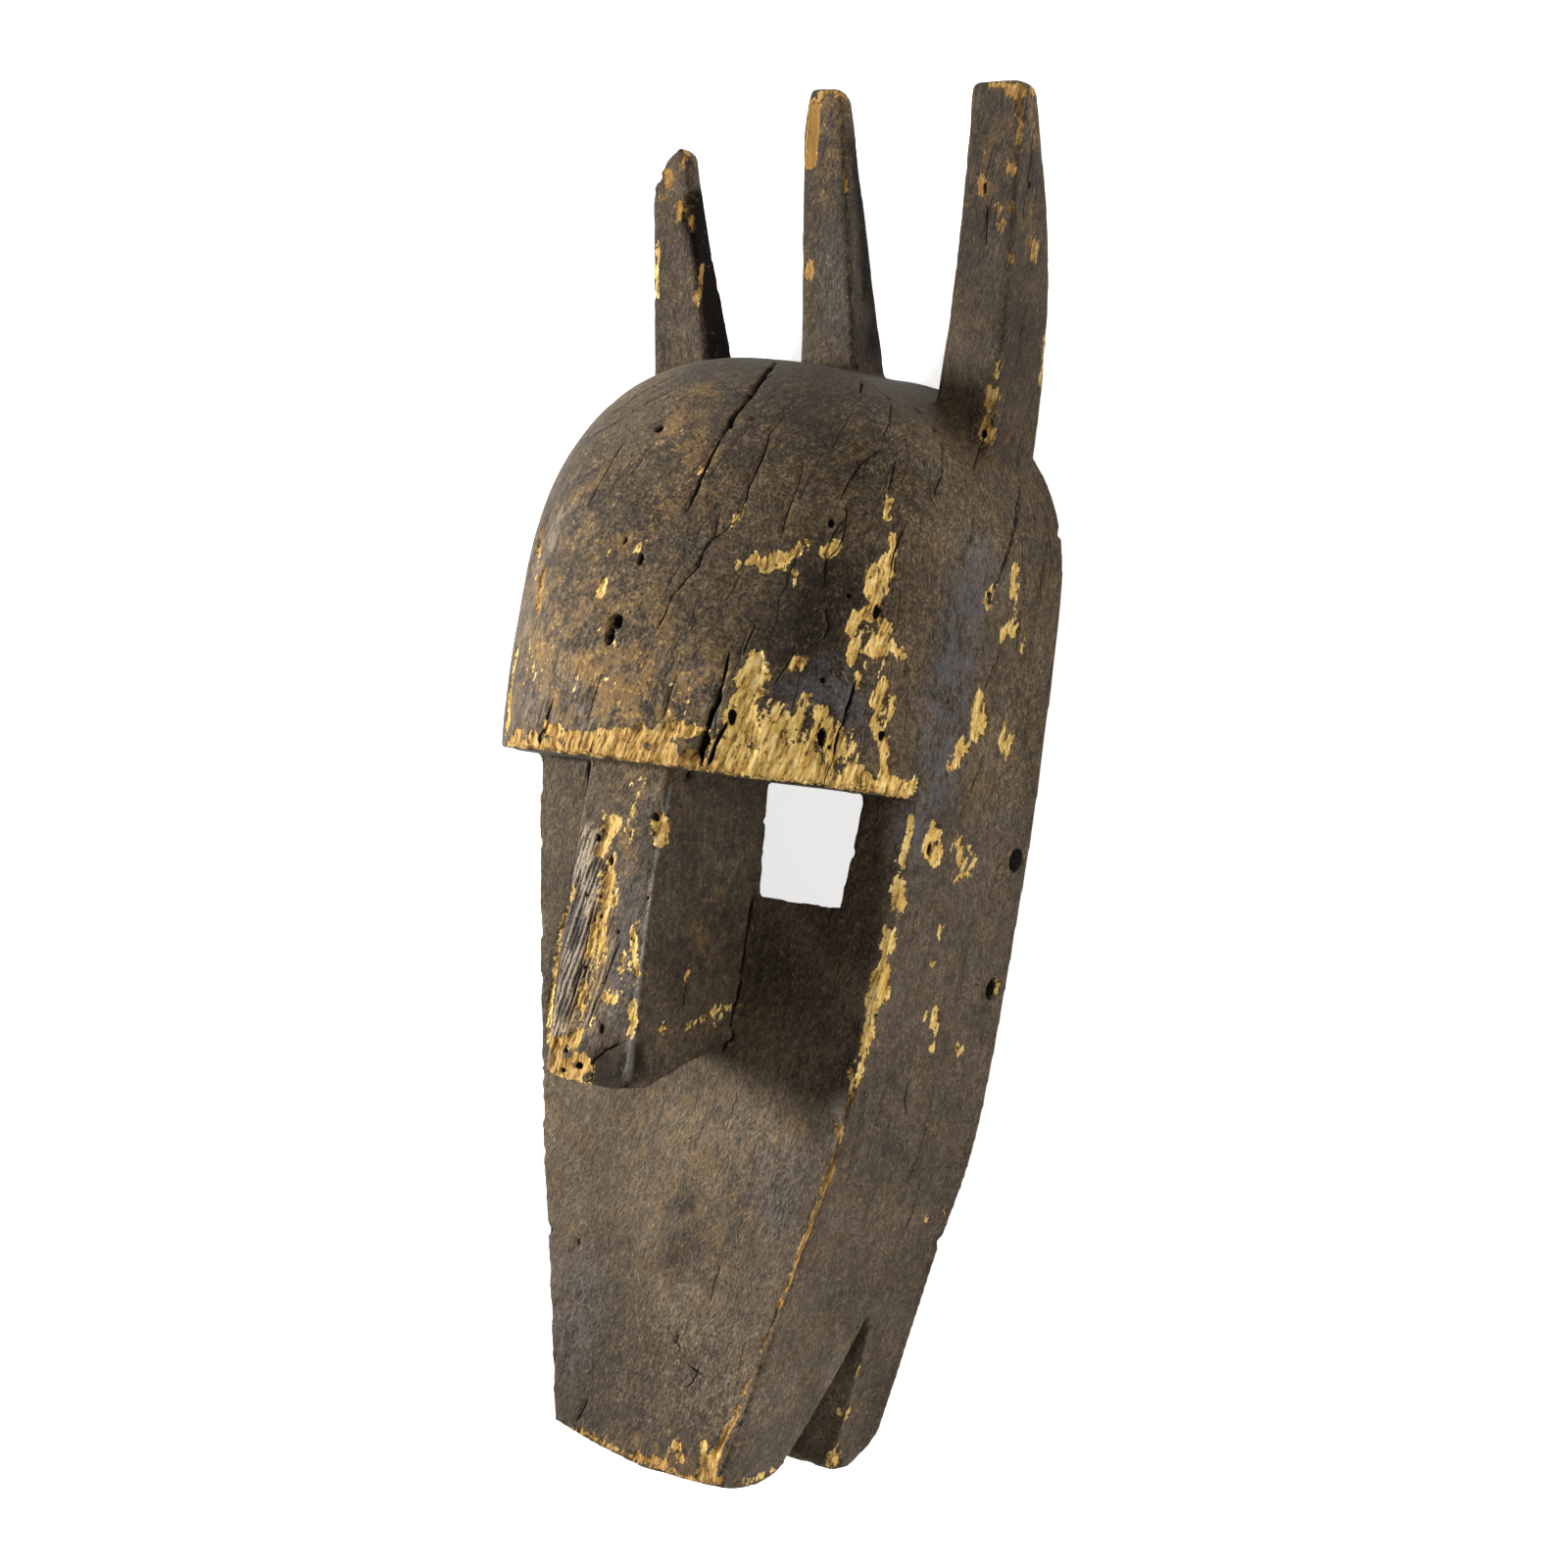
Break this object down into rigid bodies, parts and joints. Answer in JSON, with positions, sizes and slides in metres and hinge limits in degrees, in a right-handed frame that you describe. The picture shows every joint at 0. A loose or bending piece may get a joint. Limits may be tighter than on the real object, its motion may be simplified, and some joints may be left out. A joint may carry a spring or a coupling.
{
  "type": "carved wooden face mask",
  "caption": "Kore mask: a wooden face mask of the hyena kind, with a domed head, square eyes, a plank nose, an open muzzle and upright horns, hollowed from the back.",
  "frame": {"origin": "on the rim plane of the hollow back, under the middle of the mask's box", "axes": "+X to the mask's left side, +Y from the chin to the horns, +Z from the rim to the front of the face; the mask lies face up on its rim"},
  "size_m": [0.166, 0.488, 0.1465],
  "materials": {
    "weathered_wood": "dark grey-brown patina on hard wood, matt and dry, worn through to honey-yellow wood on the brow, the edges and the horn tips"
  },
  "bodies": {
    "root": {"kore_mask": "weathered_wood"}
  },
  "joints": []
}
